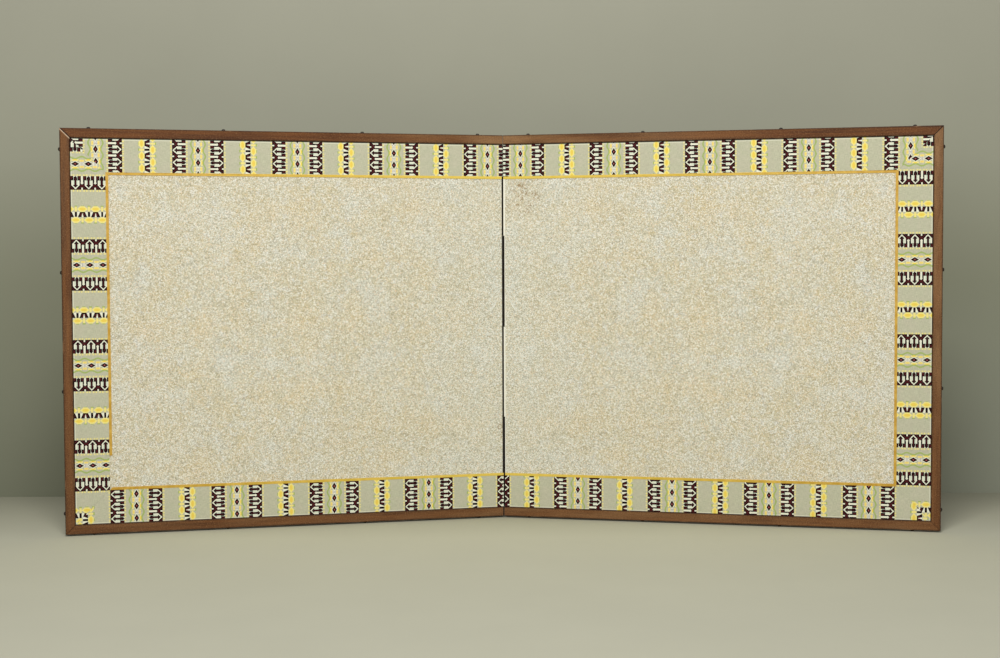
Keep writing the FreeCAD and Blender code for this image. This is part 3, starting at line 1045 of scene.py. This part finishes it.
for side in SIDES:
    for part, (low, high, mitres) in TRIMS.items():
        if (side, part) == ("left", "side"):
            low, mitres = (low[0], low[1] + LOST_LENGTH), mitres[1:]
        bm = gilt_bar(low, high, mitres)
        strip = settle(bm, f"{side}_gilt_{part}", side, "gilt", "gold_trim", own=tuple)
        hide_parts(f"{side}_trim_{part}")
print("gilt strips", len(TRIMS) * 2)

# %% [markdown]
# ### The fold
# Four segments of paper hinge lie one above the other. Each starts on the front of one panel,
# bends at the fold and lies against the edge of the other one, and the next does the same the
# other way round. A bend is one sheet, shaped for the panels at rest. Deep inside the fold the
# bare hinge paper shows, dark brown and darkened further as painted shade.

# %% Paper folds
SEGMENTS = 4
SLIT = 1.0 * MM
FOLD_SHEET = 0.35 * MM
SHOWN_DEPTH = 2.2 * MM
segment_height = (high_z - low_z) / SEGMENTS
# from the face to the far panel's edge, as (towards the starting panel, backwards), in mm
FOLD_ROUTE = (
    (7.6, 0.5), (2.5, 1.72), (1.0, 2.1), (0.3, 2.6),
    (0.0, 3.6), (-0.4, 6.5), (-1.8, 10.5), (-4.2, 15.0),
)


def fold_sheet(start_side, bottom, top):
    """A bent strip of paper between two heights, in the standing screen's own frame."""
    way = 1 if start_side == "right" else -1
    z = foot_height + bottom
    route = [(way * toward * MM, fold_place.y + back * MM, z) for toward, back in FOLD_ROUTE]
    bm = sweep_up(route, top - bottom)
    level = [e for e in bm.edges if abs(e.verts[0].co.z - e.verts[1].co.z) < MM]
    bmesh.ops.subdivide_edges(bm, edges=level, cuts=2)
    thicken(bm, FOLD_SHEET)
    return bm


def fold_spans(index):
    """What shows on one segment, as (finish, bottom, top) from its lower to its upper end."""
    bottom = low_z + segment_height * index + SLIT / 2
    top = low_z + segment_height * (index + 1) - SLIT / 2
    low_gilt, high_gilt = trim_low + TRIM_WIDTH, trim_high - TRIM_WIDTH
    if index == 0:
        return [("brocade", bottom, trim_low), ("gilt", trim_low, low_gilt), ("face", low_gilt, top)]
    if index == SEGMENTS - 1:
        upper = [("gilt", high_gilt, trim_high), ("brocade", trim_high, top)]
        return [("face", bottom, high_gilt), *upper]
    return [("face", bottom, top)]


def make_fold(index):
    start_side = "right" if index % 2 else "left"
    strip = "top" if index == SEGMENTS - 1 else "bottom"
    back_to_bench = to_place[start_side].inverted()
    kinds = {
        "brocade": ("brocade", "brocade", cloth_place(start_side, strip)),
        "gilt": ("gilt", "gold_trim", tuple),
        "face": (f"{start_side}_face", "face_paper", tuple),
    }
    for kind, bottom, top in fold_spans(index):
        finish, slot, own = kinds[kind]
        bm = fold_sheet(start_side, bottom, top)
        # faces deeper in the fold than this take the dark hinge paper, as painted shade
        for face in bm.faces:
            if face.calc_center_median().y > fold_place.y + SHOWN_DEPTH:
                face.material_index = 1
        facts = [own(back_to_bench @ vert.co) for vert in bm.verts]
        piece = make_piece(bm, f"fold_{index + 1}_{kind}", [finish, "hinge_paper"], slot)
        carry(piece.data, "own", facts)
        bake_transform(piece)


for index in range(SEGMENTS):
    make_fold(index)
print("paper folds", SEGMENTS)

# %% [markdown]
# ### Pieces that keep their solid shape
# The lattice bars, linings, nails, hinge papers and backing paper are already right, so they
# only get a finish. Their grain follows the room's axes, which is near enough under paper.

# %% Finish for the kept pieces
KEPT = {
    "core_level": ("core_top_rail", "core_bottom_rail", "core_crossbars"),
    "core_upright": ("core_fold_stile", "core_outer_stile", "core_uprights", "core_corner_blocks"),
    "under_paper": ("front_lining", "back_lining"),
    "back_paper": ("back_paper",),
    "hinge_paper": ("hinge_front_leaves", "hinge_wraps"),
    "nail": ("edge_nails", "foot_nails"),
}
kept_nodes = []
for finish, names in KEPT.items():
    for name in [f"{side}_{name}" for side in SIDES for name in names]:
        materials = frame["nodes"][name].data.materials
        materials.clear()
        materials.append(FINISH[finish])
        kept_nodes.append(name)
print("kept pieces", len(kept_nodes))

# %% [markdown]
# ## The studio
# A pale floor meets a grey-green backdrop close behind the screen. The backdrop is clear from
# behind, so that the back of the screen can be seen as well. The floor darkens towards the
# backdrop, and the backdrop darkens towards its foot and low on the right, as painted light
# and shade.


# %% Floor and backdrop
def stage_material(name, axis, stops, see_through_back=False, side_shade=None):
    """A matt surface with painted light and shade along one axis, through (place, colour) stops."""
    material, w, shader = new_material(name, rough=0.9, Specular_IOR_Level=0.1)
    place = w.split(w.object())[axis]
    colour = stops[0][1]
    for (low, _), (high, over) in zip(stops, stops[1:]):
        colour = w.paint(colour, over, w.ramp(place, low, high))
    # painted shade: the backdrop darkens low down on its right
    if side_shade:
        to_side, _, height = w.split(w.object())
        low = w.ramp(height, 0.1, 0.55, 1.0, 0.0)
        colour = w.paint(colour, side_shade, w.times(w.ramp(to_side, 0.3, 1.2), low))
    mottle = w.ramp(w.noise(w.object(), 4.0), 0.3, 0.7, 0.97, 1.0)
    grey = w.wired("ShaderNodeCombineColor", 0, {0: mottle, 1: mottle, 2: mottle})
    colour = w.paint(colour, grey, 1.0, blend_type="MULTIPLY")
    w.feed(shader.inputs["Base Color"], colour)
    if see_through_back:
        behind = w.node("ShaderNodeNewGeometry").outputs["Backfacing"]
        clear = w.node("ShaderNodeBsdfTransparent").outputs[0]
        mixed = w.wired("ShaderNodeMixShader", 0, {0: behind, 1: shader.outputs[0], 2: clear})
        w.feed(material.node_tree.nodes["Material Output"].inputs["Surface"], mixed)
    return material


def stage_plane(name, size, place, upright, material):
    made = to_object(grid_mesh((1, 1), size, place, upright), name, [material])
    return made


WALL_BACK = 0.42
# painted shade: the floor darkens towards the backdrop
FLOOR_SHADE_STOPS = (
    (-0.9, (0.51, 0.5, 0.392, 1)),
    (-0.15, (0.53, 0.52, 0.395, 1)),
    (0.1, (0.44, 0.43, 0.32, 1)),
    (WALL_BACK, (0.3, 0.295, 0.212, 1)),
)
# painted light and shade: the backdrop is lighter high up and darker towards its foot
WALL_SHADE_STOPS = (
    (0.0, (0.215, 0.222, 0.158, 1)),
    (0.2, (0.245, 0.252, 0.182, 1)),
    (0.5, (0.275, 0.28, 0.202, 1)),
    (0.8, (0.36, 0.36, 0.278, 1)),
    (1.2, (0.382, 0.376, 0.3, 1)),
)
stage_plane("floor", (14, 14), (0, 0, 0), False, stage_material("floor", 1, FLOOR_SHADE_STOPS))
wall_finish = stage_material(
    "backdrop", 2, WALL_SHADE_STOPS, see_through_back=True, side_shade=(0.31, 0.32, 0.25, 1)
)
wall = stage_plane("backdrop", (14, 5), (0, WALL_BACK, 2.5), True, wall_finish)
wall.visible_shadow = False
wall.visible_diffuse = False


# %% [markdown]
# A soft key lamp high in front throws the thin shadow under the top rail. A very large, weak
# lamp behind the camera and the even room light fill the rest.


# %% Lamps
def soft_lamp(name, place, aim, size, watts):
    data = bpy.data.lights.new(name, "AREA")
    data.shape = "RECTANGLE"
    data.size, data.size_y = size
    data.energy = watts
    lamp = bpy.data.objects.new(name, data)
    lamp.location = place
    lamp.rotation_euler = (Vector(aim) - Vector(place)).to_track_quat("-Z", "Y").to_euler()
    bpy.context.collection.objects.link(lamp)
    return lamp


soft_lamp("key lamp", (-0.2, -2.3, 3.3), (0, 0, 0.4), (1.1, 0.8), 76)
soft_lamp("fill lamp", (0.2, -4.4, 1.5), (0, 0, 0.4), (4.5, 2.2), 68)
world = bpy.data.worlds.new("room")
world.use_nodes = True
world.node_tree.nodes["Background"].inputs["Color"].default_value = (1.0, 1.0, 0.98, 1)
world.node_tree.nodes["Background"].inputs["Strength"].default_value = 0.28
bpy.context.scene.world = world
bpy.context.scene.view_settings.view_transform = "Standard"
